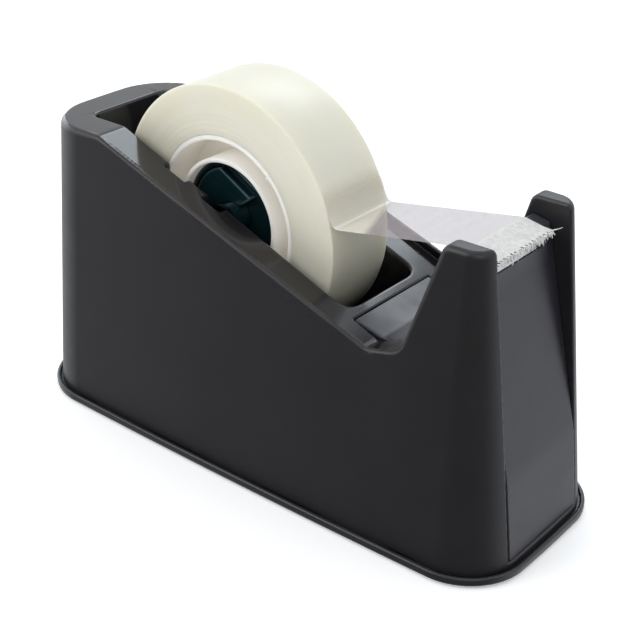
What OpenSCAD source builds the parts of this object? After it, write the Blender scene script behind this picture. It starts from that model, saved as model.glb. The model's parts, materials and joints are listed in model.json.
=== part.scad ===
/* [Base] */
// Length of the base plate over its bowed ends
base_length = 139.3; // [138:0.1:170]
// Width of the base plate over its bowed sides
base_width = 51.2; // [48:0.1:64]
// Thickness of the non-slip pad that meets the table
pad_thickness = 0.5; // [0.4:0.1:2]
// Thickness of the base plate's floor
plate_thickness = 1.2; // [1:0.1:2.5]
// Height of the lip round the base plate
lip_height = 0.7; // [0.4:0.1:1.5]
// Width of the lip round the base plate
lip_width = 1.0; // [0.6:0.1:1.3]

/* [Housing] */
// Height of the flat rear deck above the table
deck_height = 71.5; // [70:0.5:88]
// Length of the flat rear deck
deck_length = 20.8; // [18:0.5:26]
// Wall thickness of the housing
wall = 2.0; // [1.6:0.1:2.6]
// Width of the thin rim that stands above the sloping deck
rim = 1.3; // [1:0.1:1.6]
// Distance from the front of the base to the bottom of the valley
valley_back = 34.4; // [32:0.1:38]
// Height of the bottom of the valley
valley_height = 44.9; // [43:0.1:50]
// Distance between the inner faces of the two cheeks
cheek_gap = 26.4; // [25:0.1:30]
// Length of each cheek along its top
cheek_top_length = 10.4; // [9:0.1:13]
// Height of the sill below the front cover
sill_height = 12.5; // [10:0.5:18]

/* [Tape] */
// Width of the tape
tape_width = 19; // [12:0.5:19.5]
// Outer radius of the full roll
roll_radius = 30.7; // [24:0.1:31]
// Bore radius of the roll's core
core_bore_radius = 13; // [12.5:0.1:14]
// Thickness of the core's outer tube
core_tube = 1.1; // [0.8:0.1:2]
// Outer radius of the roll's core
core_radius = 19.3; // [18.5:0.1:21]

/* [Spool] */
// Distance from the rear of the base to the spool's axis
axle_back = 56.85; // [56:0.05:62]
// Height of the spool's axis
axle_height = 55.5; // [54.5:0.1:62]
// Diameter of the axle
axle_diameter = 5; // [3.5:0.1:6]
// Width of the hub that the core slides onto
hub_width = 14; // [10:0.1:15]
// Radial running clearance of the hub on its axle
running_gap = 0.06; // [0.02:0.01:0.1]

/* [Cutter] */
// Height of the rest that the free end of the tape is stuck to
rest_height = 67.8; // [67:0.1:69]
// Length of the rest from back to front
rest_length = 5.2; // [4:0.1:6]
// Thickness of the steel cutter
blade_thickness = 0.4; // [0.3:0.05:0.6]
// Distance between two teeth of the cutter
tooth_pitch = 1.3; // [1:0.1:2]
// Depth of the cutter's teeth
tooth_depth = 1.0; // [0.6:0.1:1.4]

/* [Hidden] */
$fn = 96;

// Clearance of a part that is dropped into place
drop_gap = 0.15;
// Clearance that keeps the loose tape off what it passes
tape_gap = 0.15;
// Thickness drawn for the loose tape
strip_thickness = 0.25;
// Gap that keeps two faces which meet from overlapping
seat_gap = 0.05;
// How far a cut runs past the face that it opens
past = 1;

// Base
rear_x = -base_length / 2;
front_x = base_length / 2;
plate_z = pad_thickness;
foot_z = plate_z + plate_thickness;
base_corner_rear = 16.6;
base_corner_front = 13.6;
side_bow = 1.0;
end_bow = 0.9;
foot_inset = 1.54;
pad_inset = 2.4;

// Housing: drafts are millimetres of lean for each millimetre of height
rear_draft = 0.09;
front_draft = 0.115;
side_draft_rear = 0.039;
side_draft_front = 0.082;
top_corner_rear = 14;
top_corner_front = 4.2;
slope_x = rear_x + 28.65;
valley_x = front_x - valley_back;
cheek_foot_x = valley_x + 7.9;
cheek_foot_z = valley_height + 1.7;
cheek_front_x = front_x - foot_inset - front_draft * (deck_height - foot_z) - 0.2;
cheek_rear_x = cheek_front_x - cheek_top_length + 1.2;
rim_slope = (deck_height - valley_height) / (valley_x - slope_x);
deck_slope = rim_slope + 0.034;

// Tape well
axle_x = rear_x + axle_back;
well_rear_x = axle_x - roll_radius - 9.5;
well_front_x = axle_x + roll_radius + 6.7;
well_rear_half = tape_width / 2 + 1.7;
well_front_half = tape_width / 2 + 2.4;
well_floor_z = axle_height - roll_radius - 3.3;
well_bottom_radius = 28;
well_wall = 1.8;

// Front cover and cutter
seam_x = well_front_x + well_wall;
seam_z = deck_height - deck_slope * (seam_x - slope_x);
cover_half = cheek_gap / 2 - drop_gap;
cover_wall = 1.8;
panel_top_z = rest_height - 4.0;
panel_top_x = front_x - 13.5;
panel_flush_z = 22;
rest_front_x = panel_top_x - blade_thickness - 0.1;
rest_rear_x = rest_front_x - rest_length;
rest_half = cover_half - 0.2;
blade_z = rest_height - 1.5;
blade_front_x = panel_top_x + 2.2;
blade_half = 10.4;

// Screws
screw_radius = 1.5;
screw_head_radius = 2.4;
screw_head_height = 1.3;
screw_clearance = 0.2;
pilot_gap = 0.05;
boss_radius = 3.0;
cover_boss_radius = 2.6;
cup_height = 1.8;
cup_radius = 3.6;
cup_floor = 1.2;
boss_z = foot_z + cup_height;
boss_height = 18;
screw_length = 10;
rear_screw_x = rear_x + foot_inset + wall + 4.5;
front_screw_x = front_x - 15;
rear_screw_y = 9.5;
front_screw_y = cheek_gap / 2 + well_wall + 2.4;
cover_screw_x = front_x - foot_inset - wall - 5.0;
cover_screw_y = cover_half - 3.6;

// Ballast
ballast_gap = 0.4;
ballast_pad = 1.2;
ballast_z = foot_z + ballast_pad;
rear_ballast_x0 = rear_screw_x + cup_radius + 3;
rear_ballast_x1 = well_front_x;
rear_ballast_half = base_width / 2 - foot_inset - wall - 3.2;
rear_ballast_top = well_floor_z - well_wall - ballast_gap;
front_ballast_x0 = seam_x + 0.6;
front_ballast_x1 = cover_screw_x - cup_radius - 0.6;
front_ballast_half = cover_half - cover_wall - ballast_gap;
front_ballast_top = valley_height - cover_wall - 4.2;

// Spool
axle_radius = axle_diameter / 2;
slot_radius = axle_radius + 0.08;
collar_radius = axle_radius + 1.4;
collar_width = 1.0;
axle_half = well_rear_half + 2.4;
collar_half = well_rear_half - 0.35;
boss_end = collar_half - collar_width - 0.1;
hub_bore = axle_radius + running_gap;
hub_boss_radius = hub_bore + 0.9;
hub_radius = core_bore_radius - 0.08;
hub_wall = 1.2;
hub_half = hub_width / 2;
hub_cap_thickness = 1.2;
hub_cap_radius = hub_radius - hub_wall - seat_gap;
hub_field_depth = 2.0;
field_corner = [5.5, 5.6];
field_slope = 0.573;
field_notch = 1.4;
cap_gap = 0.02;
hub_web = 2.4;
core_recess = 0.5;
core_web = 1.8;
core_inner_tube = 1.0;

// Direction of a vector
function unit(v) = v / norm(v);

// Points of the arc that rounds corner p, which lies between a and b
function corner(a, p, b, r) =
    r < 0.05 ? [p] :
    let (
        u = unit(a - p),
        v = unit(b - p),
        half = acos(max(-1, min(1, u * v))) / 2
    )
    half > 89.5 ? [p] :
    let (
        centre = p + unit(u + v) * r / sin(half),
        from = p + u * r / tan(half) - centre,
        to = p + v * r / tan(half) - centre,
        start = atan2(from.y, from.x),
        sweep = atan2(from.x * to.y - from.y * to.x, from * to),
        steps = max(2, ceil(abs(sweep) / 11))
    )
    [for (i = [0:steps]) centre + r * [cos(start + sweep * i / steps), sin(start + sweep * i / steps)]];

// Outline through a closed path of [x, y, corner radius]
function rounded(path) =
    let (n = len(path))
    [for (i = [0:n - 1])
        let (a = path[(i + n - 1) % n], p = path[i], b = path[(i + 1) % n])
        each corner([a.x, a.y], [p.x, p.y], [b.x, b.y], p.z)];

// Where two lines through p, along u and v, cross once each has moved d to its right
function moved_corner(p, u, v, d) =
    let (nu = [u.y, -u.x], nv = [v.y, -v.x], m = unit(nu + nv))
    p + m * d / (m * nu);

// A clockwise closed path moved inwards by d; its radii follow on the given side
function inset_path(path, d) =
    let (n = len(path))
    [for (i = [0:n - 1])
        let (
            a = path[(i + n - 1) % n],
            p = path[i],
            b = path[(i + 1) % n],
            u = unit([p.x - a.x, p.y - a.y]),
            v = unit([b.x - p.x, b.y - p.y]),
            q = moved_corner([p.x, p.y], u, v, d),
            outer = u.x * v.y - u.y * v.x < 0
        )
        [q.x, q.y, p.z == 0 ? 0 : max(0.3, p.z + (outer ? -d : d))]];

// Plan outline with bowed sides and ends: ends x0 and x1, half-widths and corner radii at each end
function plan(x0, x1, half0, half1, r0, r1) =
    let (
        xa = x0 + end_bow,
        xb = x1 - end_bow,
        side = [for (t = [0.2:0.15:0.8])
            [xa + (xb - xa) * t, half0 + (half1 - half0) * t + side_bow * 4 * t * (1 - t), 0]],
        n = len(side)
    )
    rounded(concat(
        [for (t = [-0.3, 0, 0.3]) [x0 + end_bow * t * t, half0 * t, 0]],
        [[xa, half0, r0]],
        side,
        [[xb, half1, r1]],
        [for (t = [0.3, 0, -0.3]) [x1 - end_bow * t * t, half1 * t, 0]],
        [[xb, -half1, r1]],
        [for (i = [n - 1:-1:0]) [side[i].x, -side[i].y, 0]],
        [[xa, -half0, r0]]
    ));

// Outline of the base, moved in by inset
function base_plan(inset) = plan(
    rear_x + inset, front_x - inset,
    base_width / 2 - side_bow - inset, base_width / 2 - side_bow - inset,
    base_corner_rear - inset, base_corner_front - inset);

// Outline of the body at height z, moved in by inset
function body_plan(z, inset) =
    let (
        rise = z - foot_z,
        share = rise / (deck_height - foot_z),
        half = base_width / 2 - side_bow - foot_inset - inset,
        r0 = base_corner_rear - foot_inset,
        r1 = base_corner_front - foot_inset
    )
    plan(
        rear_x + foot_inset + rear_draft * rise + inset,
        front_x - foot_inset - front_draft * rise - inset,
        half - side_draft_rear * rise,
        half - side_draft_front * rise,
        r0 + (top_corner_rear - r0) * share - inset,
        max(0.8, r1 + (top_corner_front - r1) * share - inset));

// The body as a tapered block, moved in by inset, before its top is shaped
module body_block(inset, z0) {
    z1 = deck_height + 0.5;
    hull() {
        translate([0, 0, z0]) linear_extrude(0.01) polygon(body_plan(z0, inset));
        translate([0, 0, z1]) linear_extrude(0.01) polygon(body_plan(z1, inset));
    }
}

// Extrudes an outline drawn in X and Z across the width, from -half to half
module across(half) {
    translate([0, half, 0]) rotate([90, 0, 0]) linear_extrude(2 * half) children();
}

// Side profile of the housing: rear deck, slope, valley and cheek
side_path = [
    [rear_x - 5, -past, 0],
    [rear_x - 5, deck_height, 0],
    [slope_x, deck_height, 6],
    [valley_x, valley_height, 4],
    [cheek_foot_x, cheek_foot_z, 4],
    [cheek_rear_x, deck_height, 2.2],
    [cheek_front_x, deck_height, 2.2],
    [front_x + 2, -past, 0]
];

// Everything above the sunk deck, between the rims
deck_cut_path = [
    [slope_x, deck_height, 0],
    [valley_x - 1.8, deck_height - deck_slope * (valley_x - 1.8 - slope_x), 3],
    [cheek_foot_x - 1.2, cheek_foot_z + 0.3, 0],
    [cheek_foot_x - 1.2, deck_height + 5, 0],
    [slope_x, deck_height + 5, 0]
];

// Underside of the deck, for the hollow of the housing
hollow_path = [
    [rear_x - 5, -past, 0],
    [rear_x - 5, deck_height - wall, 0],
    [slope_x - 0.6, deck_height - wall, 3],
    [valley_x - 2, deck_height - deck_slope * (valley_x - slope_x) - wall, 3],
    [front_x + 5, deck_height - deck_slope * (valley_x - slope_x) - wall, 0],
    [front_x + 5, -past, 0]
];

// Plan of the tape well, moved out by grow
function well_plan(grow) = rounded([
    [well_rear_x - grow, -well_rear_half - grow, 3 + grow],
    [well_rear_x - grow, well_rear_half + grow, 3 + grow],
    [well_front_x + grow, well_front_half + grow, 4 + grow],
    [well_front_x + grow, -well_front_half - grow, 4 + grow]
]);

// Profile of the tape well, moved out by grow
function well_profile(grow) = rounded([
    [well_rear_x - grow, well_floor_z - grow, well_bottom_radius + grow],
    [well_rear_x - grow, deck_height + 5, 0],
    [well_front_x + grow, deck_height + 5, 0],
    [well_front_x + grow, well_floor_z - grow, well_bottom_radius + grow]
]);

// The tape well as a solid, moved out by grow
module well_block(grow) {
    intersection() {
        translate([0, 0, well_floor_z - grow - past])
            linear_extrude(deck_height) polygon(well_plan(grow));
        across(base_width) polygon(well_profile(grow));
    }
}

// Slot that the axle drops into, open at the deck
module axle_slot() {
    across(axle_half + 0.3) {
        translate([axle_x, axle_height]) circle(slot_radius);
        translate([axle_x - slot_radius, axle_height]) square([2 * slot_radius, deck_height]);
    }
}

// Bottom of the thumb notch, from the spool's axis
notch_floor = [[-14.3, 7.1], [-11.9, 6.2], [-8.1, 8.0]];

// Thumb notch in the edges of the well, behind the axle
module thumb_notch() {
    across(well_rear_half + 2.2) translate([axle_x, 0]) polygon(concat(
        [[notch_floor[0].x, deck_height]],
        [for (p = notch_floor) [p.x, p.y + axle_height]],
        [[notch_floor[2].x, deck_height]]
    ));
}

// Screw positions under the housing
housing_screws = [
    [rear_screw_x, rear_screw_y], [rear_screw_x, -rear_screw_y],
    [front_screw_x, front_screw_y], [front_screw_x, -front_screw_y]
];

// Screw positions under the front cover
cover_screws_at = [[cover_screw_x, cover_screw_y], [cover_screw_x, -cover_screw_y]];

// Solid bosses at a list of positions
module bosses(at, z, height, radius = boss_radius) {
    for (p = at) translate([p.x, p.y, z]) cylinder(r = radius, h = height);
}

// Pilot holes for the screws at a list of positions
module pilot_holes(at, z) {
    for (p = at) translate([p.x, p.y, z - past])
        cylinder(r = screw_radius + pilot_gap, h = screw_length + past);
}

// Walls of the pocket that the front cover sits in
module pocket_walls() {
    for (side = [-1, 1])
        translate([well_front_x, side * (cheek_gap + well_wall) / 2 - well_wall / 2, boss_z])
            cube([front_x - well_front_x, well_wall, deck_height]);
}

// Moulded housing with its deck, cheeks and tape well
module housing() {
    color([0.19, 0.19, 0.2]) difference() {
        intersection() {
            body_block(0, foot_z);
            across(base_width) polygon(rounded(side_path));
        }
        difference() {
            intersection() {
                body_block(wall, foot_z - past);
                across(base_width) polygon(rounded(hollow_path));
            }
            well_block(well_wall);
            pocket_walls();
            bosses(housing_screws, boss_z, boss_height);
        }
        well_block(0);
        intersection() {
            body_block(rim, foot_z);
            across(base_width) polygon(rounded(deck_cut_path));
        }
        translate([seam_x, -cheek_gap / 2, sill_height])
            cube([base_length, cheek_gap, deck_height]);
        axle_slot();
        thumb_notch();
        pilot_holes(housing_screws, boss_z);
    }
}

// Side outline of the front cover, clockwise from its rear edge
cover_rear_x = seam_x + drop_gap;
cover_rear_z = seam_z - 8;
cover_heel_x = front_x - 11;
cover_skin_gap = foot_inset + 0.3;
cover_path = [
    [cover_rear_x, cover_rear_z, 0],
    [cover_rear_x, seam_z - 0.1, 0],
    [valley_x - 1.6, valley_height - 1.1, 4],
    [valley_x + 3.6, valley_height - 0.5, 4],
    [rest_rear_x - 4.2, valley_height + 6, 4],
    [rest_rear_x - 0.2, panel_top_z - 0.6, 0.8],
    [panel_top_x, panel_top_z, 0],
    [front_x - cover_skin_gap - front_draft * (panel_flush_z - foot_z), panel_flush_z, 30],
    [front_x - cover_skin_gap - front_draft * (sill_height - foot_z), sill_height + drop_gap, 0],
    [cover_heel_x, sill_height + drop_gap, 0],
    [valley_x + 9, cover_rear_z, 0]
];

// Hollow of the front cover: the outline moved in, then opened downwards and to the rear
cover_inner = inset_path(cover_path, cover_wall);
cover_hollow_path = concat(
    [[seam_x - past, cover_rear_z - past, 0], [seam_x - past, cover_inner[1].y, 0]],
    [for (i = [2:7]) cover_inner[i]],
    [
        [cover_inner[8].x, sill_height - past, 0],
        [cover_heel_x, sill_height - past, 0],
        [valley_x + 9, cover_rear_z - past, 0]
    ]
);

// Bosses of the front cover that its screws enter
module cover_bosses() {
    bosses(cover_screws_at, boss_z, sill_height + 6 - boss_z, cover_boss_radius);
}

// Front cover: front panel, cutter seat and rear ramp in one piece
module front_cover() {
    seat = [blade_thickness + 0.1, 2 * blade_half + 0.2, 8];
    color([0.29, 0.29, 0.32]) difference() {
        union() {
            across(cover_half) polygon(rounded(cover_path));
            cover_bosses();
        }
        difference() {
            across(cover_half - cover_wall) polygon(rounded(cover_hollow_path));
            cover_bosses();
        }
        translate([panel_top_x - seat.x, -seat.y / 2, panel_top_z + past - seat.z]) cube(seat);
        pilot_holes(cover_screws_at, boss_z);
    }
}

// Rest that the loose end of the tape is stuck to
module tape_rest() {
    color([0.2, 0.24, 0.3]) across(rest_half) polygon(rounded([
        [rest_rear_x, panel_top_z + seat_gap, 0],
        [rest_rear_x, rest_height - 1, 0],
        [rest_rear_x + 1.2, rest_height, 0.6],
        [rest_front_x, rest_height - 0.8, 0.4],
        [rest_front_x, panel_top_z + seat_gap, 0]
    ]));
}

// Toothed steel cutter: a leg behind the panel's top edge and a flange with the teeth
module cutter_blade() {
    teeth = floor(2 * blade_half / tooth_pitch);
    half = teeth * tooth_pitch / 2;
    leg_x = panel_top_x - blade_thickness - 0.05;
    color([0.75, 0.76, 0.78]) union() {
        translate([leg_x, -half, panel_top_z - 6])
            cube([blade_thickness, 2 * half, blade_z + blade_thickness - panel_top_z + 6]);
        translate([0, 0, blade_z]) linear_extrude(blade_thickness) polygon(concat(
            [[leg_x, half], [leg_x, -half]],
            [for (i = [0:2 * teeth])
                [blade_front_x - (i % 2 == 0 ? tooth_depth : 0), -half + i * tooth_pitch / 2]]
        ));
    }
}

// Head recess and clearance hole for each screw that comes up through the base
module screw_holes(at) {
    for (p = at) translate([p.x, p.y, 0]) {
        translate([0, 0, -past])
            cylinder(r = screw_head_radius + screw_clearance, h = past + boss_z - cup_floor);
        cylinder(r = screw_radius + screw_clearance, h = boss_z + past);
    }
}

// Base plate with its lip and the cups that the screw heads sit in
module base_plate() {
    color([0.13, 0.13, 0.14]) difference() {
        union() {
            translate([0, 0, plate_z]) linear_extrude(plate_thickness) polygon(base_plan(0));
            translate([0, 0, plate_z]) linear_extrude(plate_thickness + lip_height) difference() {
                polygon(base_plan(0));
                polygon(base_plan(lip_width));
            }
            for (p = concat(housing_screws, cover_screws_at)) translate([p.x, p.y, plate_z])
                cylinder(r = cup_radius, h = boss_z - plate_z - seat_gap);
        }
        screw_holes(concat(housing_screws, cover_screws_at));
    }
}

// Non-slip pad under the base plate
module grip_pad() {
    color([0.08, 0.08, 0.08]) linear_extrude(pad_thickness - 0.02) polygon(base_plan(pad_inset));
}

// One pan-head screw with its head downwards
module screw() {
    head_z = boss_z - cup_floor - seat_gap - screw_head_height;
    slot = [3.0, 0.7, past + 0.8];
    translate([0, 0, head_z]) difference() {
        union() {
            cylinder(r = screw_head_radius, h = screw_head_height);
            cylinder(r = screw_radius, h = screw_length);
        }
        for (turn = [0, 90]) rotate(turn) translate([-slot.x / 2, -slot.y / 2, -past]) cube(slot);
    }
}

// Screws that hold the base plate to the housing
module base_screws() {
    color([0.7, 0.71, 0.73]) for (p = housing_screws) translate([p.x, p.y, 0]) screw();
}

// Screws that hold the front cover down
module cover_screws() {
    color([0.7, 0.71, 0.73]) for (p = cover_screws_at) translate([p.x, p.y, 0]) screw();
}

// Cast weight under the tape well
module rear_ballast() {
    color([0.36, 0.35, 0.34]) translate([0, 0, ballast_z])
        linear_extrude(rear_ballast_top - ballast_z) polygon(rounded([
            [rear_ballast_x0, -rear_ballast_half, 6],
            [rear_ballast_x0, rear_ballast_half, 6],
            [rear_ballast_x1, rear_ballast_half, 3],
            [rear_ballast_x1, -rear_ballast_half, 3]
        ]));
}

// Cast weight under the front cover
module front_ballast() {
    color([0.36, 0.35, 0.34]) translate([0, 0, ballast_z])
        linear_extrude(front_ballast_top - ballast_z) polygon(rounded([
            [front_ballast_x0, -front_ballast_half, 2],
            [front_ballast_x0, front_ballast_half, 2],
            [front_ballast_x1, front_ballast_half, 2],
            [front_ballast_x1, -front_ballast_half, 2]
        ]));
}

// Foam pads that hold the two weights still
module ballast_pads() {
    color([0.25, 0.25, 0.26]) {
        for (span = [[rear_ballast_x0 + 4, rear_ballast_x1 - 4],
                     [front_ballast_x0 + 1, front_ballast_x1 - 1]])
            translate([span[0], -front_ballast_half + 1, foot_z + 0.02])
                cube([span[1] - span[0], 2 * front_ballast_half - 2, ballast_pad - 0.04]);
    }
}

// Places its children on the spool's axis, with their +Z towards -Y
module on_axis() {
    translate([axle_x, 0, axle_height]) rotate([90, 0, 0]) children();
}

// Axle pin with one fixed collar and a groove for its clip
module hub_axle() {
    color([0.6, 0.61, 0.63]) on_axis() rotate_extrude() polygon([
        [0, -axle_half],
        [axle_radius - 0.4, -axle_half],
        [axle_radius, -axle_half + 0.4],
        [axle_radius, -collar_half],
        [axle_radius - 0.6, -collar_half],
        [axle_radius - 0.6, -collar_half + collar_width],
        [axle_radius, -collar_half + collar_width],
        [axle_radius, collar_half - collar_width],
        [collar_radius, collar_half - collar_width],
        [collar_radius, collar_half],
        [axle_radius, collar_half],
        [axle_radius, axle_half - 0.4],
        [axle_radius - 0.4, axle_half],
        [0, axle_half]
    ]);
}

// Clip that keeps the hub on its axle
module axle_clip() {
    color([0.5, 0.5, 0.52]) on_axis() translate([0, 0, -collar_half + 0.05]) difference() {
        cylinder(r = collar_radius, h = collar_width - 0.1);
        translate([0, 0, -past]) cylinder(r = axle_radius - 0.55, h = collar_width + 2 * past);
        translate([-(axle_radius - 0.75), -collar_radius - past, -past])
            cube([2 * (axle_radius - 0.75), collar_radius + past, collar_width + 2 * past]);
    }
}

// Drum that the core slides onto: rim, web and boss
module hub_drum() {
    color([0.03, 0.13, 0.16]) on_axis() rotate_extrude() union() {
        translate([hub_radius - hub_wall, -hub_half]) square([hub_wall, 2 * hub_half]);
        translate([hub_bore, -hub_web / 2])
            square([hub_radius - hub_wall / 2 - hub_bore, hub_web]);
        translate([hub_bore, -boss_end]) square([hub_boss_radius - hub_bore, 2 * boss_end]);
    }
}

// Raised field of a hub cap: a chord and a radius bound it
module cap_field() {
    intersection() {
        circle(hub_cap_radius);
        polygon([
            [0, field_notch],
            field_corner,
            field_corner + hub_radius * [-1, field_slope],
            [-hub_radius, 0],
            [-hub_radius, -hub_radius],
            [-2, -hub_radius]
        ]);
    }
}

// One cap: a disc that rests on the drum's web, with its raised field outwards
module cap() {
    stand = hub_half - hub_field_depth - hub_web / 2 - cap_gap;
    difference() {
        union() {
            cylinder(r = hub_cap_radius, h = stand);
            linear_extrude(stand + hub_field_depth) cap_field();
        }
        translate([0, 0, -past]) cylinder(r = hub_boss_radius + seat_gap, h = hub_width);
        translate([0, 0, -past]) difference() {
            cylinder(r = hub_cap_radius - hub_wall, h = past + stand - hub_cap_thickness);
            cylinder(r = hub_boss_radius + hub_wall, h = hub_width);
        }
    }
}

// Caps that close the two faces of the drum
module hub_cap() {
    color([0.04, 0.16, 0.19]) on_axis() for (turn = [0, 180])
        rotate([turn, 0, 0]) translate([0, 0, hub_web / 2 + cap_gap]) cap();
}

// Moulded core of the roll: outer tube, web and inner tube
module tape_core() {
    half = tape_width / 2;
    color([0.92, 0.92, 0.9]) on_axis() rotate_extrude() union() {
        translate([core_radius - core_tube, -half]) square([core_tube, 2 * half]);
        translate([core_bore_radius, -core_web / 2])
            square([core_radius - core_tube / 2 - core_bore_radius, core_web]);
        translate([core_bore_radius, -half + core_recess])
            square([core_inner_tube, 2 * (half - core_recess)]);
    }
}

// Wound tape
module tape_roll() {
    color([0.86, 0.85, 0.78]) on_axis() translate([0, 0, -tape_width / 2]) difference() {
        cylinder(r = roll_radius, h = tape_width, $fn = 180);
        translate([0, 0, -past]) cylinder(r = core_radius + 0.02, h = tape_width + 2 * past);
    }
}

// Loose tape from the roll to the rest and over the cutter
peel_angle = 16.5;
peel_radius = roll_radius + tape_gap;
peel_bend = [1.4, -2.4];
peel_at = [axle_x, axle_height] + peel_radius * [cos(peel_angle), sin(peel_angle)];
strip_path = [
    [peel_at.x, peel_at.y, 0],
    [peel_at.x + peel_bend.x, peel_at.y + peel_bend.y, 2],
    [rest_rear_x + 1.2, rest_height + tape_gap, 1],
    [rest_front_x + 0.2, rest_height - 0.8 + tape_gap, 3],
    [blade_front_x + 0.3, blade_z + blade_thickness + tape_gap, 0]
];

// The open path thickened upwards into a closed outline
function ribbon(path, t) =
    let (n = len(path), top = [for (p = path) [p.x, p.y + t, p.z]])
    rounded(concat(path, [for (i = [n - 1:-1:0]) top[i]]));

module tape_strip() {
    color([0.85, 0.85, 0.84, 0.5]) across(tape_width / 2)
        polygon(ribbon(strip_path, strip_thickness));
}

housing();
front_cover();
tape_rest();
cutter_blade();
base_plate();
grip_pad();
base_screws();
cover_screws();
rear_ballast();
front_ballast();
ballast_pads();
hub_axle();
axle_clip();
hub_drum();
hub_cap();
tape_core();
tape_roll();
tape_strip();
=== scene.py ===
import json
import math

import bmesh
import bpy
import numpy as np
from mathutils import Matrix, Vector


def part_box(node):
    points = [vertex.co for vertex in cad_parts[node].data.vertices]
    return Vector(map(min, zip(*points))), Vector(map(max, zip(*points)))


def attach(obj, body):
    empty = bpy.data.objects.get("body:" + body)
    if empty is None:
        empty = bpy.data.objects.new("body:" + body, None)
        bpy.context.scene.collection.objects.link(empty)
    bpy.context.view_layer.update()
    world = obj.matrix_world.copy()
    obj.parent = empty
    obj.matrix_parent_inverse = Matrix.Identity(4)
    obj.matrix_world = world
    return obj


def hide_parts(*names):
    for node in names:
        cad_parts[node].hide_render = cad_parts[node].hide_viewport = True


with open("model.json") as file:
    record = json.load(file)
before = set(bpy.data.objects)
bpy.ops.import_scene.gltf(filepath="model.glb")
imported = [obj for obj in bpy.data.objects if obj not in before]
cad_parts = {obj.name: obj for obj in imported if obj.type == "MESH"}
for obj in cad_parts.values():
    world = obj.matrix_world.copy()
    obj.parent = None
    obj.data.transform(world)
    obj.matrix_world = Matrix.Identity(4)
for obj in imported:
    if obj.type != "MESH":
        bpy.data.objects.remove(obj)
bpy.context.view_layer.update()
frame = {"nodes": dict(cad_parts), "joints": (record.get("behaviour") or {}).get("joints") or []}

import openvdb
from mathutils import Vector

MM = 0.001
DICE = np.random.default_rng(11)
PIECES = bpy.data.collections.new("dispenser")
bpy.context.scene.collection.children.link(PIECES)


# ---------------------------------------------------------------- sizes, in millimetres

def node_box(node):
    """Lowest and highest corners of a CAD node, in millimetres."""
    low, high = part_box(node)
    return np.array(low) / MM, np.array(high) / MM


BASE_LOW, BASE_HIGH = node_box("base_plate")
SHELL_LOW, SHELL_HIGH = node_box("housing")
COVER_LOW, COVER_HIGH = node_box("front_cover")
REST_LOW, REST_HIGH = node_box("tape_rest")
BLADE_LOW, BLADE_HIGH = node_box("cutter_blade")
ROLL_LOW, ROLL_HIGH = node_box("tape_roll")
CORE_HIGH = node_box("tape_core")[1]
DRUM_HIGH = node_box("hub_drum")[1]
PAD_LOW, PAD_HIGH = node_box("grip_pad")

REAR_X, FRONT_X = BASE_LOW[0], BASE_HIGH[0]
BASE_HALF = BASE_HIGH[1]
FOOT_Z = SHELL_LOW[2]
PLATE_Z = PAD_HIGH[2] + 0.02
LIP_Z = FOOT_Z + 0.7
DECK_Z = SHELL_HIGH[2]
SPIN = next(j for j in frame["joints"] if j["name"] == "spool_spin")
AXIS = np.array(SPIN["pos_m"]) / MM
ROLL_R = (ROLL_HIGH[0] - ROLL_LOW[0]) / 2
TAPE_HALF = ROLL_HIGH[1]

# Plan of the body; a draft is millimetres of lean for each millimetre of height
SIDE_BOW = 1.0
END_BOW = 0.9
FOOT_INSET = 1.54
BASE_CORNER_REAR, BASE_CORNER_FRONT = 16.6, 13.6
TOP_CORNER_REAR, TOP_CORNER_FRONT = 14.0, 4.2
REAR_DRAFT, FRONT_DRAFT = 0.09, 0.115
SIDE_DRAFT_REAR, SIDE_DRAFT_FRONT = 0.039, 0.082
WALL = 2.0
RIM = 1.3
LIP = 1.0

# Side profile of the housing
SLOPE_X = REAR_X + 28.65
VALLEY_X, VALLEY_Z = FRONT_X - 34.4, 44.9
CHEEK_FOOT_X, CHEEK_FOOT_Z = VALLEY_X + 7.9, VALLEY_Z + 1.7
CHEEK_FRONT_X = FRONT_X - FOOT_INSET - FRONT_DRAFT * (DECK_Z - FOOT_Z) - 0.2
CHEEK_REAR_X = CHEEK_FRONT_X - 9.2
RIM_SLOPE = (DECK_Z - VALLEY_Z) / (VALLEY_X - SLOPE_X)
DECK_SLOPE = RIM_SLOPE + 0.034
DECK_END_X, DECK_END_Z = CHEEK_FOOT_X - 1.2, CHEEK_FOOT_Z + 0.3


def deck_height(x):
    """Height of the sunk deck's straight slope at a place along the body."""
    return DECK_Z - DECK_SLOPE * (x - SLOPE_X)


# Tape well
WELL_REAR_X, WELL_FRONT_X = AXIS[0] - ROLL_R - 9.5, AXIS[0] + ROLL_R + 6.7
WELL_REAR_HALF, WELL_FRONT_HALF = TAPE_HALF + 1.7, TAPE_HALF + 2.4
WELL_FLOOR_Z = AXIS[2] - ROLL_R - 3.3
WELL_BOTTOM_R = 28.0
WELL_WALL = 1.8
AXLE_R = 2.5
NOTCH = [(-14.3, 7.1), (-11.9, 6.2), (-8.1, 8.0)]
SLOT_REACH, NOTCH_REACH = 2.7, 2.2

# Front cover and the pocket that it sits in
SEAM_X = WELL_FRONT_X + WELL_WALL
SEAM_Z = deck_height(SEAM_X)
COVER_HALF = COVER_HIGH[1]
COVER_WALL = 1.8
POCKET_HALF = COVER_HALF + 0.15
SILL_Z = COVER_LOW[2] - 0.15
PANEL_TOP_X, PANEL_TOP_Z = FRONT_X - 13.5, REST_HIGH[2] - 4.0
PANEL_FLUSH_Z = 22.0
COVER_SKIN = FOOT_INSET + 0.3

# Screws that come up through the base
SCREW_HEAD_R = 2.4
HEAD_HOLE_R, SHANK_HOLE_R, PILOT_R, CUP_R = 2.6, 1.7, 1.55, 3.6
BOSS_Z = FOOT_Z + 1.8
BOSS_R = 3.0
BOSS_TOP_Z, PILOT_TOP_Z = BOSS_Z + 18, BOSS_Z + 11

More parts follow.
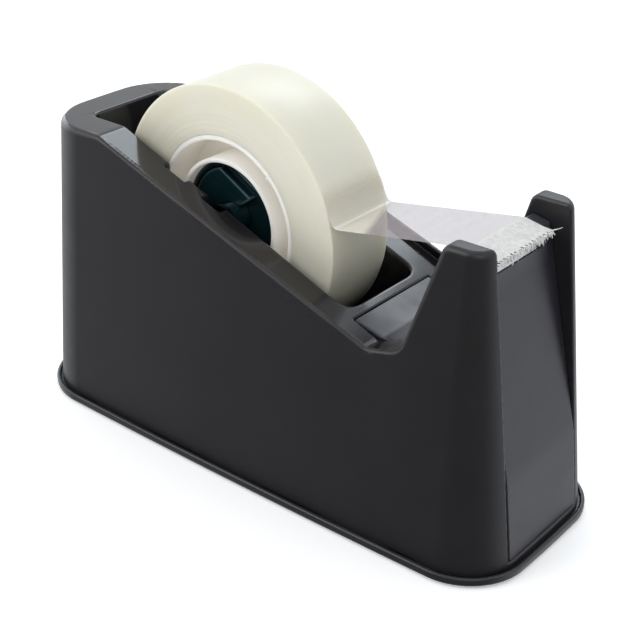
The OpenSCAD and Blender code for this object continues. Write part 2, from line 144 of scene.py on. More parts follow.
# Teeth of the cutter, which the torn edge of the film follows
TOOTH_PITCH = 1.3

# Moulded surfaces: a bend below FLAT_BEND counts as flat. A normal is taken over NORMAL_REACH each way,
# wide enough to hide the small steps that the forms have where some rounded edges end
FLAT_BEND = 0.07
NORMAL_REACH = 0.06
# The edge mask marks where the material lightens edges, partly as wear and partly as painted highlight
EDGE_GAIN, EDGE_START = 0.6, 0.08


def screw_places(node):
    """Centres (x, y) of the screws that make up a CAD node."""
    points = np.array([v.co for v in frame["nodes"][node].data.vertices]) / MM
    places = []
    for row in (points[points[:, 1] < 0], points[points[:, 1] >= 0]):
        low, high = row.min(0), row.max(0)
        ends = [low[0] + SCREW_HEAD_R, high[0] - SCREW_HEAD_R]
        places += [(x, (low[1] + high[1]) / 2) for x in (ends if ends[1] - ends[0] > 1 else ends[:1])]
    return places


BODY_SCREWS = screw_places("base_screws")
COVER_SCREWS = screw_places("cover_screws")


# ---------------------------------------------------------------- forms as signed distances

def meet(a, b, r=0.0, cosine=0.0):
    """What lies inside both forms; the edge between them is rounded to radius r.

    cosine is that of the angle between the two faces' normals: 0 where they are square.
    """
    u, v = a + r, b + r
    if cosine == 0:
        return np.minimum(np.maximum(a, b), -r) + np.sqrt(np.maximum(u, 0) ** 2 + np.maximum(v, 0) ** 2)
    round_it = (u > cosine * v) & (v > cosine * u)
    reach = np.maximum(u * u + v * v - 2 * cosine * u * v, 0) / (1 - cosine * cosine)
    return np.where(round_it, np.sqrt(reach) - r, np.maximum(a, b))


def join(a, b, r=0.0, cosine=0.0):
    """What lies inside either form; the corner between them is filleted to radius r."""
    return -meet(-a, -b, r, cosine)


def cut(a, b, r=0.0):
    """What lies inside a and outside b."""
    return meet(a, -b, r)


def left_of(u, v, start, end):
    """Distance from the line from start to end, negative on its right."""
    du, dv = end[0] - start[0], end[1] - start[1]
    return (du * (v - start[1]) - dv * (u - start[0])) / math.hypot(du, dv)


def faces_along(u, v, points):
    """The line through each two of a row of points, and the cosine of each corner between two lines."""
    ways = [np.subtract(q, p) / math.dist(p, q) for p, q in zip(points, points[1:])]
    lines = [left_of(u, v, p, q) for p, q in zip(points, points[1:])]
    return lines, [float(a @ b) for a, b in zip(ways, ways[1:])]


def ease(t, low, high):
    """Rises smoothly from 0 at low to 1 at high."""
    s = np.clip((t - low) / (high - low), 0, 1)
    return s * s * (3 - 2 * s)


def round_bar(u, v, centre, radius):
    """Distance from a round bar."""
    return np.sqrt((u - centre[0]) ** 2 + (v - centre[1]) ** 2) - radius


def bowed_plan(x, y, x0, x1, half0, half1, r0, r1):
    """Plan with bowed sides and ends and a radius for the corners at each end."""
    t = (x - x0) / (x1 - x0)
    side = np.abs(y) - half0 - (half1 - half0) * t - SIDE_BOW * 4 * t * (1 - t)
    sag = END_BOW * (y / BASE_HALF) ** 2
    return meet(meet(side, x0 + sag - x, r0), x + sag - x1, r1)


def base_plan(x, y):
    """Plan of the base."""
    half = BASE_HALF - SIDE_BOW
    return bowed_plan(x, y, REAR_X, FRONT_X, half, half, BASE_CORNER_REAR, BASE_CORNER_FRONT)


def body_skin(x, y, z):
    """Drafted outer skin of the housing, before its top is shaped."""
    rise = z - FOOT_Z
    share = rise / (DECK_Z - FOOT_Z)
    half = BASE_HALF - SIDE_BOW - FOOT_INSET
    foot0, foot1 = BASE_CORNER_REAR - FOOT_INSET, BASE_CORNER_FRONT - FOOT_INSET
    return bowed_plan(
        x, y,
        REAR_X + FOOT_INSET + REAR_DRAFT * rise,
        FRONT_X - FOOT_INSET - FRONT_DRAFT * rise,
        half - SIDE_DRAFT_REAR * rise,
        half - SIDE_DRAFT_FRONT * rise,
        foot0 + (TOP_CORNER_REAR - foot0) * share,
        foot1 + (TOP_CORNER_FRONT - foot1) * share)


def side_profile(x, z):
    """Deck, slope, valley and cheeks, seen from the side."""
    points = [(REAR_X, DECK_Z), (SLOPE_X, DECK_Z), (VALLEY_X, VALLEY_Z),
              (CHEEK_FOOT_X, CHEEK_FOOT_Z), (CHEEK_REAR_X, DECK_Z), (FRONT_X, DECK_Z)]
    (deck, slope, valley, cheek, top), turns = faces_along(x, z, points)
    rear = join(meet(deck, slope, 6, turns[0]), valley, 4, turns[1])
    return join(rear, meet(cheek, top, 2.2, turns[3]), 4, turns[2])


def sunk_deck(x, z):
    """The deck between the rims: what lies above it is open."""
    turn_x = VALLEY_X - 1.8
    points = [(SLOPE_X, DECK_Z), (turn_x, deck_height(turn_x)), (DECK_END_X, DECK_END_Z)]
    (slope, rise), turns = faces_along(x, z, points)
    return join(slope, rise, 3, turns[0])


def well(x, y, z, grow=0.0):
    """Tape well, moved out by grow."""
    t = (x - WELL_REAR_X) / (WELL_FRONT_X - WELL_REAR_X)
    side = np.abs(y) - WELL_REAR_HALF - (WELL_FRONT_HALF - WELL_REAR_HALF) * t - grow
    rear, front = WELL_REAR_X - grow - x, x - WELL_FRONT_X - grow
    floor = WELL_FLOOR_Z - grow - z
    plan = meet(meet(side, rear, 3 + grow), front, 4 + grow)
    bowl = WELL_BOTTOM_R + grow
    profile = np.maximum(meet(rear, floor, bowl), meet(front, floor, bowl))
    return meet(plan, profile, 1.5)


def axle_slot(x, y, z):
    """Slot that the axle drops into."""
    slot_r = AXLE_R + 0.08
    upright = np.abs(x - AXIS[0]) - slot_r
    slot = join(round_bar(x, z, (AXIS[0], AXIS[2]), slot_r), np.maximum(upright, AXIS[2] - z))
    return np.maximum(slot, np.abs(y) - WELL_REAR_HALF - SLOT_REACH)


def thumb_notch(x, y, z):
    """Notch in the edges of the well, behind the axle."""
    points = [(AXIS[0] + u, AXIS[2] + v) for u, v in NOTCH]
    floor = join(left_of(x, z, points[0], points[1]), left_of(x, z, points[1], points[2]), 0.3)
    sides = np.maximum(points[0][0] - x, x - points[2][0])
    return np.maximum(meet(sides, -floor, 0.3), np.abs(y) - WELL_REAR_HALF - NOTCH_REACH)


def bosses(x, y, z, places, radius, top):
    """Upright round bosses, from the cups of the base to a height."""
    shafts = np.minimum.reduce([round_bar(x, y, place, radius) for place in places])
    return np.maximum(shafts, np.maximum(BOSS_Z - z, z - top))


def pilot_holes(x, y, z, places):
    """Holes that the screws bite into, open below the bosses."""
    return bosses(x, y, z + 1, places, PILOT_R, PILOT_TOP_Z)


def housing_hollow(x, y, z):
    """Inside of the housing, round the well's walls, the pocket's walls and the bosses."""
    roof_end = deck_height(VALLEY_X)
    slope = left_of(x, z, (SLOPE_X, DECK_Z), (VALLEY_X, roof_end))
    roof = np.minimum(np.maximum(z - DECK_Z, slope), z - roof_end) + WALL
    roof = np.maximum(roof, z - DECK_Z + WALL)
    hollow = meet(body_skin(x, y, z) + WALL, roof, 1)
    hollow = cut(hollow, well(x, y, z, WELL_WALL), 0.5)
    wall = np.abs(np.abs(y) - POCKET_HALF - WELL_WALL / 2) - WELL_WALL / 2
    hollow = cut(hollow, np.maximum(np.maximum(wall, WELL_FRONT_X - x), BOSS_Z - z), 0.3)
    return cut(hollow, bosses(x, y, z, BODY_SCREWS, BOSS_R, BOSS_TOP_Z), 0.3)


def housing_form(x, y, z):
    """Housing: body, rims, sunk deck, well, pocket, slots and hollow."""
    skin = body_skin(x, y, z)
    edge = 1.5 - 0.85 * ease(x, SLOPE_X - 8, SLOPE_X + 6)
    edge = edge + 0.7 * ease(x, CHEEK_FOOT_X, CHEEK_REAR_X)
    profile = side_profile(x, z)
    rim = cut(meet(skin, profile, edge), skin + RIM, 0.3)
    behind = join(sunk_deck(x, z), DECK_END_X - x, 0.3)
    form = join(rim, np.maximum(meet(skin, profile, edge), behind), 0.15)
    pocket = np.maximum(np.maximum(np.abs(y) - POCKET_HALF, SEAM_X - x), SILL_Z - z)
    cheek_edge = 0.15 + 0.35 * ease(x, CHEEK_FOOT_X, CHEEK_FOOT_X + 4) + 0.4 * ease(z, 52, 68)
    form = cut(form, pocket, cheek_edge)
    form = cut(form, well(x, y, z), 0.8)
    form = cut(form, axle_slot(x, y, z), 0.2)
    form = cut(form, thumb_notch(x, y, z), 0.25)
    form = cut(form, housing_hollow(x, y, z), 0.2)
    form = cut(form, pilot_holes(x, y, z, BODY_SCREWS))
    return meet(form, FOOT_Z - z, 0.2)


def cover_profile(x, z):
    """Ramp, cutter seat and front panel of the cover, seen from the side."""
    points = [
        (SEAM_X + 0.15, SEAM_Z - 0.1),
        (VALLEY_X - 1.6, VALLEY_Z - 1.1),
        (VALLEY_X + 3.6, VALLEY_Z - 0.5),
        (REST_LOW[0] - 4.2, VALLEY_Z + 6),
        (REST_LOW[0] - 0.2, PANEL_TOP_Z - 0.6),
        (PANEL_TOP_X, PANEL_TOP_Z),
        (FRONT_X - COVER_SKIN - FRONT_DRAFT * (PANEL_FLUSH_Z - FOOT_Z), PANEL_FLUSH_Z),
        (FRONT_X - COVER_SKIN - FRONT_DRAFT * (SILL_Z - FOOT_Z), SILL_Z),
    ]
    (ramp, valley, rise, back, seat, panel, skirt), turns = faces_along(x, z, points)
    top = join(ramp, valley, 4, turns[0])
    top = join(top, rise, 4, turns[1])
    top = join(top, back, 4, turns[2])
    front = meet(panel, skirt, 30, turns[5])
    return meet(meet(top, seat, 0.8), front, 0.5)


def cover_form(x, y, z):
    """Front cover with its hollow, its cutter seat and its screw bosses."""
    profile = cover_profile(x, z)
    sides = np.abs(y) - COVER_HALF
    form = meet(profile, sides, 0.2)
    form = meet(form, COVER_LOW[0] - x, 0.25)
    rear_z = SEAM_Z - 8
    heel = left_of(x, z, (VALLEY_X + 9, rear_z), (FRONT_X - 11, SILL_Z))
    underside = np.maximum(np.minimum(rear_z - z, -heel), SILL_Z + 0.15 - z)
    form = np.maximum(form, underside)
    boss = bosses(x, y, z, COVER_SCREWS, BOSS_R - 0.4, SILL_Z + 6)
    hollow = meet(profile + COVER_WALL, sides + COVER_WALL, 0.6)
    form = cut(form, cut(hollow, boss, 0.2), 0.2)
    form = np.minimum(form, boss)
    form = cut(form, pilot_holes(x, y, z, COVER_SCREWS))
    slit_gap, slit_deep, slit_half = 0.25, 7, 10.5
    slit = np.maximum(np.abs(x - PANEL_TOP_X + slit_gap) - slit_gap, PANEL_TOP_Z - slit_deep - z)
    return cut(form, np.maximum(slit, np.abs(y) - slit_half))


def base_form(x, y, z):
    """Base plate with its lip, its cups and their screw holes."""
    plan = base_plan(x, y)
    plate = meet(plan, np.maximum(PLATE_Z - z, z - LIP_Z), 0.45)
    form = cut(plate, np.maximum(plan + LIP, FOOT_Z - z), 0.25)
    for place in BODY_SCREWS + COVER_SCREWS:
        hub = round_bar(x, y, place, 0)
        form = np.minimum(form, np.maximum(hub - CUP_R, np.maximum(PLATE_Z - z, z - BASE_HIGH[2])))
        form = cut(form, np.maximum(hub - HEAD_HOLE_R, z - BOSS_Z + 1.2), 0.1)
        form = cut(form, hub - SHANK_HOLE_R)
    return form


# ---------------------------------------------------------------- meshes

def new_piece(name, points, faces, body, node=None):
    """Mesh object from points in millimetres. It rides on a body and stands for a CAD node."""
    mesh = bpy.data.meshes.new(name)
    mesh.from_pydata((np.asarray(points, float) * MM).tolist(), [], faces)
    piece = bpy.data.objects.new(name, mesh)
    PIECES.objects.link(piece)
    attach(piece, body)
    if node:
        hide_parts(node)
    return piece


def smooth(piece, angle=35):
    """Shades a piece smoothly, with creases where faces meet at more than an angle in degrees."""
    piece.data.shade_smooth()
    piece.data.set_sharp_from_angle(angle=math.radians(angle))
    return piece


def add_mask(piece, name, values):
    """Stores one value for each vertex, for the piece's material."""
    layer = piece.data.attributes.new(name, "FLOAT", "POINT")
    layer.data.foreach_set("value", np.asarray(values, np.float32))


def mask_all(piece, name, value):
    """Stores the same value for every vertex."""
    add_mask(piece, name, np.full(len(piece.data.vertices), value))


def points_of(piece):
    """The piece's vertices, in millimetres."""
    flat = np.empty(len(piece.data.vertices) * 3)
    piece.data.vertices.foreach_get("co", flat)
    return flat.reshape(-1, 3) / MM


def slope_of(form, p, reach=0.01):
    """Gradient of a form at points p."""
    steps = np.eye(3) * reach
    return np.stack([(form(*(p + s).T) - form(*(p - s).T)) / (2 * reach) for s in steps], axis=1)


def settle(form, p, step, rounds):
    """Moves points onto the surface of a form."""
    for _ in range(rounds):
        g = slope_of(form, p)
        move = g * (form(*p.T) / np.maximum((g * g).sum(1), 0.05))[:, None]
        length = np.linalg.norm(move, axis=1, keepdims=True)
        p = p - move * np.minimum(1, 0.5 * step / np.maximum(length, 1e-9))
    return p


def bend_of(form, p, reach=0.5):
    """How sharply a form turns near points p: above zero on an edge, below zero in a corner."""
    bend = -6 * form(*p.T)
    for shift in np.eye(3) * reach:
        bend = bend + form(*(p + shift).T) + form(*(p - shift).T)
    return bend / reach


def skin_of(form, low, high, step):
    """Dense mesh of the surface where a form is zero, in millimetres."""
    axes = [np.arange(low[i] - 3 * step, high[i] + 3 * step, step) for i in range(3)]
    x, y, z = (a.astype(np.float32) for a in np.meshgrid(*axes, indexing="ij", sparse=True))
    grid = openvdb.FloatGrid(3 * step)
    grid.copyFromArray(np.clip(form(x, y, z), -3 * step, 3 * step).astype(np.float32))
    points, triangles, quads = grid.convertToPolygons(isovalue=0.0, adaptivity=0.0)
    points = points.astype(float) * step + np.array([a[0] for a in axes])
    return settle(form, points, step, 3), triangles.tolist() + quads.tolist()


def moulded(name, form, low, high, step, share, body, node=None):
    """Piece whose surface is where a form is zero, with the form's own normals and an edge mask.

    share is the part of the dense mesh's faces to keep. Faces along edges are always kept.
    """
    step = step * 1
    points, faces = skin_of(form, low, high, step)
    piece = new_piece(name, points, faces, body, node)
    flat = piece.vertex_groups.new(name="flat")
    flat.add(np.flatnonzero(np.abs(bend_of(form, points)) < FLAT_BEND).tolist(), 1.0, "ADD")
    thin = piece.modifiers.new("thin", "DECIMATE")
    thin.ratio = share
    thin.vertex_group = "flat"
    keep_modifiers(piece)
    piece.vertex_groups.clear()
    points = settle(form, points_of(piece), step, 2)
    piece.data.vertices.foreach_set("co", (points * MM).astype(np.float32).ravel())
    normals = slope_of(form, points, NORMAL_REACH)
    normals /= np.maximum(np.linalg.norm(normals, axis=1, keepdims=True), 1e-9)
    piece.data.shade_smooth()
    piece.data.normals_split_custom_set_from_vertices(normals.tolist())
    # Edge mask: the material lightens these edges, partly as wear and partly as painted highlight
    add_mask(piece, "edge", np.clip(bend_of(form, points) * EDGE_GAIN - EDGE_START, 0, 1))
    return piece


def arc_outline(path, steps=6):
    """Closed outline through a path of (u, v, corner radius), each corner as an arc."""
    outline = []
    for i, (u, v, radius) in enumerate(path):
        p = np.array([u, v])
        if radius == 0:
            outline.append(p)
            continue
        a = np.array(path[i - 1][:2]) - p
        b = np.array(path[(i + 1) % len(path)][:2]) - p
        a, b = a / np.linalg.norm(a), b / np.linalg.norm(b)
        half = math.acos(np.clip(a @ b, -1, 1)) / 2
        centre = p + (a + b) / np.linalg.norm(a + b) * radius / math.sin(half)
        start, end = p + a * radius / math.tan(half) - centre, p + b * radius / math.tan(half) - centre
        first = math.atan2(start[1], start[0])
        sweep = math.atan2(start[0] * end[1] - start[1] * end[0], start @ end)
        for k in range(steps + 1):
            angle = first + sweep * k / steps
            outline.append(centre + radius * np.array([math.cos(angle), math.sin(angle)]))
    return np.array(outline)


def area_of(outline):
    """Twice the area inside a closed outline, above zero where it runs anticlockwise."""
    return sum(p[0] * q[1] - q[0] * p[1] for p, q in zip(outline, np.roll(outline, -1, 0)))


def turned(name, outline, body, node=None, around=192):
    """Piece turned about the spool's axis from a closed outline of (radius, y)."""
    angles = np.linspace(0, 2 * math.pi, around, endpoint=False)
    radius, along = outline[:, 0][None, :], outline[:, 1][None, :]
    x = AXIS[0] + radius * np.cos(angles)[:, None]
    z = AXIS[2] + radius * np.sin(angles)[:, None]
    points = np.stack([x, along + 0 * x, z], axis=2).reshape(-1, 3)
    n = len(outline)
    inward = area_of(outline) < 0
    faces = []
    for i in range(around):
        j = (i + 1) % around
        for k in range(n):
            m = (k + 1) % n
            face = [i * n + k, j * n + k, j * n + m, i * n + m]
            faces.append(face if inward else face[::-1])
    return smooth(new_piece(name, points, faces, body, node))


def extruded(name, outline, y0, y1, body, node=None, bevel=0.15):
    """Piece cut from a closed outline of (x, z) across the width, with bevelled edges."""
    n = len(outline)
    if area_of(outline) < 0:
        outline = outline[::-1]
    points = [(u, y, v) for y in (y0, y1) for u, v in outline]
    faces = [list(range(n)), list(range(2 * n - 1, n - 1, -1))]
    faces += [[k, n + k, n + (k + 1) % n, (k + 1) % n] for k in range(n)]
    piece = new_piece(name, points, faces, body, node)
    round_edges(piece, bevel)
    return smooth(piece)


def round_edges(piece, width, segments=3, angle=30):
    """Rounds a piece's edges with a bevel and keeps the result in its mesh."""
    bevel = piece.modifiers.new("round", "BEVEL")
    bevel.width = width * MM
    bevel.segments = segments
    bevel.limit_method = "ANGLE"
    bevel.angle_limit = math.radians(angle)
    keep_modifiers(piece)


def keep_modifiers(piece):
    """Applies a piece's modifiers to its mesh."""
    shape = bpy.data.meshes.new_from_object(piece.evaluated_get(bpy.context.evaluated_depsgraph_get()))
    piece.modifiers.clear()
    piece.data = shape


# ---------------------------------------------------------------- finishes

def put(tree, kind, inputs=(), **settings):
    """Adds a shader node; each input takes a value or another node's socket."""
    node = tree.nodes.new(kind)
    for name, value in settings.items():
        setattr(node, name, value)
    for name, value in dict(inputs).items():
        if isinstance(value, bpy.types.NodeSocket):
            tree.links.new(value, node.inputs[name])
        else:
            node.inputs[name].default_value = value
    return node


def new_group(name, inputs, outputs):
    """Empty shader node group with its input and output nodes."""
    tree = bpy.data.node_groups.new(name, "ShaderNodeTree")
    for label, kind, value in inputs:
        socket = tree.interface.new_socket(label, in_out="INPUT", socket_type=kind)
        socket.default_value = value
    for label, kind in outputs:
        tree.interface.new_socket(label, in_out="OUTPUT", socket_type=kind)
    return tree, tree.nodes.new("NodeGroupInput").outputs, tree.nodes.new("NodeGroupOutput").inputs


def noise(tree, where, scale, detail=2.0, roughness=0.5):
    """Noise over the piece; scale is in cycles per metre."""
    node = put(tree, "ShaderNodeTexNoise",
               {"Vector": where, "Scale": scale, "Detail": detail, "Roughness": roughness})
    return node.outputs["Fac"]


def remap(tree, value, from_low, from_high, to_low, to_high):
    """Moves a value from one range to another."""
    node = put(tree, "ShaderNodeMapRange", {
        "Value": value, "From Min": from_low, "From Max": from_high,
        "To Min": to_low, "To Max": to_high})
    return node.outputs["Result"]


def maths(tree, operation, a, b=0.0):
    """One Math node."""
    node = put(tree, "ShaderNodeMath", operation=operation)
    for i, value in enumerate((a, b)):
        if isinstance(value, bpy.types.NodeSocket):
            tree.links.new(value, node.inputs[i])
        else:
            node.inputs[i].default_value = value
    return node.outputs[0]


def mix_colour(tree, share, a, b, blend="MIX"):
    """Mixes two colours."""
    node = put(tree, "ShaderNodeMix", data_type="RGBA", blend_type=blend)
    for i, value in ((0, share), (6, a), (7, b)):
        if isinstance(value, bpy.types.NodeSocket):
            tree.links.new(value, node.inputs[i])
        else:
            node.inputs[i].default_value = value if i == 0 else (*value[:3], 1)
    return node.outputs[2]


def piece_coordinates(tree):
    """Place on the piece, in metres."""
    return put(tree, "ShaderNodeTexCoord").outputs["Object"]


def make_moulded_grain():
    """Group: fine grain of a moulded surface, faint flow marks, handling marks, and edges lightened partly as
    rubbed wear and partly as painted highlight.
    """
    tree, given, result = new_group("moulded_grain", [
        ("Colour", "NodeSocketColor", (0.5, 0.5, 0.5, 1)),
        ("Rubbed Colour", "NodeSocketColor", (0.6, 0.6, 0.6, 1)),
        ("Edge", "NodeSocketFloat", 0.0),
        ("Roughness", "NodeSocketFloat", 0.4),
        ("Grain Size", "NodeSocketFloat", 3000.0),
        ("Grain Depth", "NodeSocketFloat", 0.1),
        ("Handling", "NodeSocketFloat", 0.05),
    ], [("Colour", "NodeSocketColor"), ("Roughness", "NodeSocketFloat"), ("Normal", "NodeSocketVector")])
    where = piece_coordinates(tree)
    fine = noise(tree, where, given["Grain Size"], 3)
    flow = noise(tree, where, 45.0, 3, 0.6)
    marks = noise(tree, where, 160.0, 4, 0.65)
    shade = remap(tree, flow, 0.3, 0.7, 0.92, 1.08)
    toned = mix_colour(tree, 1.0, given["Colour"], shade, "MULTIPLY")
    # Edges take the lighter colour: partly rubbed wear, partly a painted highlight along the edges
    wear_and_highlight = maths(tree, "MULTIPLY", given["Edge"], remap(tree, marks, 0.35, 0.65, 0.35, 1.0))
    tree.links.new(mix_colour(tree, wear_and_highlight, toned, given["Rubbed Colour"]), result["Colour"])
    handled = maths(tree, "MULTIPLY", remap(tree, marks, 0.35, 0.7, -1.0, 1.0), given["Handling"])
    tree.links.new(maths(tree, "ADD", given["Roughness"], handled), result["Roughness"])
    bump = put(tree, "ShaderNodeBump", {"Height": fine, "Strength": given["Grain Depth"], "Distance": 0.0001})
    tree.links.new(bump.outputs["Normal"], result["Normal"])
    return tree


def make_wound_film():
    """Group: the rings that the edges of wound film show about the spool's axis, and cloudy film."""
    tree, given, result = new_group("wound_film", [
        ("Colour", "NodeSocketColor", (0.9, 0.9, 0.8, 1)),
        ("Deep Colour", "NodeSocketColor", (0.7, 0.7, 0.5, 1)),
        ("Ring Depth", "NodeSocketFloat", 0.1),
    ], [("Colour", "NodeSocketColor"), ("Roughness", "NodeSocketFloat"), ("Normal", "NodeSocketVector")])
    where = piece_coordinates(tree)
    place = put(tree, "ShaderNodeSeparateXYZ", {"Vector": where})
    across = maths(tree, "SUBTRACT", place.outputs["X"], AXIS[0] * MM)
    up = maths(tree, "SUBTRACT", place.outputs["Z"], AXIS[2] * MM)
    square = maths(tree, "ADD", maths(tree, "MULTIPLY", across, across), maths(tree, "MULTIPLY", up, up))
    radius = maths(tree, "SQRT", square)
    line = put(tree, "ShaderNodeCombineXYZ", {"X": radius, "Y": 0.0, "Z": 0.0}).outputs["Vector"]
    rings = noise(tree, line, 2600.0, 4, 0.7)
    broad = noise(tree, line, 420.0, 2, 0.5)
    cloud = noise(tree, where, 55.0, 3, 0.55)
    deep = remap(tree, cloud, 0.3, 0.7, 0.0, 0.6)
    depth = maths(tree, "ADD", deep, remap(tree, broad, 0.3, 0.7, 0.0, 0.4))
    tree.links.new(mix_colour(tree, depth, given["Colour"], given["Deep Colour"]), result["Colour"])
    tree.links.new(remap(tree, cloud, 0.3, 0.7, 0.36, 0.48), result["Roughness"])
    bump = put(tree, "ShaderNodeBump", {
        "Height": rings, "Strength": given["Ring Depth"], "Distance": 0.00015})
    tree.links.new(bump.outputs["Normal"], result["Normal"])
    return tree


GRAIN = make_moulded_grain()
WOUND = make_wound_film()


def new_finish(name, **constants):
    """Material with a Principled shader; returns it with its tree and shader."""
    material = bpy.data.materials.new(name)
    material.use_nodes = True
    tree = material.node_tree
    shader = tree.nodes["Principled BSDF"]
    for label, value in constants.items():
        shader.inputs[label.replace("_", " ")].default_value = value
    return material, tree, shader


def use_group(tree, group, **values):
    """Places a node group in a material's tree."""
    node = tree.nodes.new("ShaderNodeGroup")
    node.node_tree = group
    for label, value in values.items():
        socket = node.inputs[label.replace("_", " ")]
        if isinstance(value, bpy.types.NodeSocket):
            tree.links.new(value, socket)
        elif isinstance(value, tuple):
            socket.default_value = (*value, 1)
        else:
            socket.default_value = value
    return node.outputs


def join_to_shader(tree, made, shader):
    """Feeds a group's colour, roughness and normal to a shader."""
    tree.links.new(made["Colour"], shader.inputs["Base Color"])
    tree.links.new(made["Roughness"], shader.inputs["Roughness"])
    tree.links.new(made["Normal"], shader.inputs["Normal"])


def grained(name, colour, wear_and_highlight, roughness, grain_size, grain_depth, handling=0.04,
            polish=None, **constants):
    """Moulded material: grain, flow marks, handling marks, and edges lightened partly as rubbed wear and
    partly as painted highlight.

    polish is the roughness where the piece's polish mask is 1.
    """
    material, tree, shader = new_finish(name, **constants)
    edge = put(tree, "ShaderNodeAttribute", attribute_name="edge").outputs["Fac"]
    level = roughness
    depth = grain_depth
    if polish is not None:
        mask = put(tree, "ShaderNodeAttribute", attribute_name="polish").outputs["Fac"]
        level = remap(tree, mask, 0.0, 1.0, roughness, polish)
        depth = remap(tree, mask, 0.0, 1.0, grain_depth, grain_depth * 0.25)
    made = use_group(tree, GRAIN, Colour=colour, Rubbed_Colour=wear_and_highlight, Edge=edge, Roughness=level,
                     Grain_Size=grain_size, Grain_Depth=depth, Handling=handling)
    join_to_shader(tree, made, shader)
    return material


def brushed(name, colour, dark, roughness, along):
    """Metal with fine lines; along stretches them, as a scale on each axis."""
    material, tree, shader = new_finish(name, Metallic=1.0)
    stretch = put(tree, "ShaderNodeMapping", {"Vector": piece_coordinates(tree), "Scale": along})
    lines = noise(tree, stretch.outputs["Vector"], 1.0, 4, 0.7)
    tree.links.new(mix_colour(tree, lines, dark, colour), shader.inputs["Base Color"])
    level = remap(tree, lines, 0.3, 0.7, roughness - 0.08, roughness + 0.1)
    tree.links.new(level, shader.inputs["Roughness"])
    bump = put(tree, "ShaderNodeBump", {"Height": lines, "Strength": 0.15, "Distance": 0.00005})
    tree.links.new(bump.outputs["Normal"], shader.inputs["Normal"])
    return material


# The second colour of each is its edge colour, which is partly rubbed wear and partly painted highlight
CHARCOAL = grained("charcoal_plastic", (0.0145, 0.0133, 0.015), (0.034, 0.034, 0.038),
                   0.42, 2600, 0.10, 0.03, 0.13)
PANEL_PLASTIC = grained("panel_plastic", (0.017, 0.0155, 0.022), (0.045, 0.045, 0.052),
                        0.34, 2600, 0.08, 0.04)
BASE_PLASTIC = grained("base_plastic", (0.018, 0.018, 0.020), (0.045, 0.045, 0.05), 0.36, 2600, 0.08, 0.04)
TEAL_PLASTIC = grained("teal_plastic", (0.004, 0.018, 0.022), (0.10, 0.19, 0.21), 0.24, 2200, 0.05, 0.04)
REST_PLASTIC = grained("rest_plastic", (0.043, 0.045, 0.056), (0.09, 0.10, 0.12), 0.3, 2200, 0.05, 0.04)
# The core's faint warm emission is the light that reaches it through the tape
CORE_PLASTIC = grained("core_plastic", (0.92, 0.89, 0.83), (0.95, 0.95, 0.94), 0.35, 1800, 0.05, 0.04,
                       Subsurface_Weight=0.5, Subsurface_Scale=0.003, Subsurface_Radius=(1.0, 0.95, 0.85),
                       Emission_Color=(1.0, 0.93, 0.8, 1.0), Emission_Strength=0.06)
PAD_RUBBER = grained("pad_rubber", (0.012, 0.012, 0.012), (0.02, 0.02, 0.02), 0.8, 900, 0.5, 0.05)
FOAM = grained("packing_foam", (0.05, 0.05, 0.052), (0.06, 0.06, 0.06), 0.95, 1200, 0.9, 0.03)
CAST_IRON = grained("cast_weight", (0.10, 0.097, 0.092), (0.16, 0.155, 0.15), 0.7, 700, 0.6, 0.08)
CUTTER_STEEL = brushed("cutter_steel", (0.72, 0.73, 0.75), (0.5, 0.51, 0.53), 0.25, (200, 6000, 200))
AXLE_STEEL = brushed("blackened_steel", (0.035, 0.04, 0.045), (0.015, 0.018, 0.02), 0.4, (3000, 300, 3000))
ZINC = brushed("zinc_screws", (0.65, 0.66, 0.68), (0.42, 0.43, 0.46), 0.35, (2500, 2500, 400))


def make_roll_finish():
    """Wound frosted film: cloudy and slightly see-into, with rings on its edges."""
    material, tree, shader = new_finish("wound_tape", Subsurface_Weight=0.5, Subsurface_Scale=0.004,
                                        Coat_Weight=0.15, Coat_Roughness=0.3)
    shader.inputs["Subsurface Radius"].default_value = (1.0, 0.85, 0.55)
    made = use_group(tree, WOUND, Colour=(0.75, 0.735, 0.64), Deep_Colour=(0.73, 0.70, 0.56), Ring_Depth=0.12)
    join_to_shader(tree, made, shader)
    return material


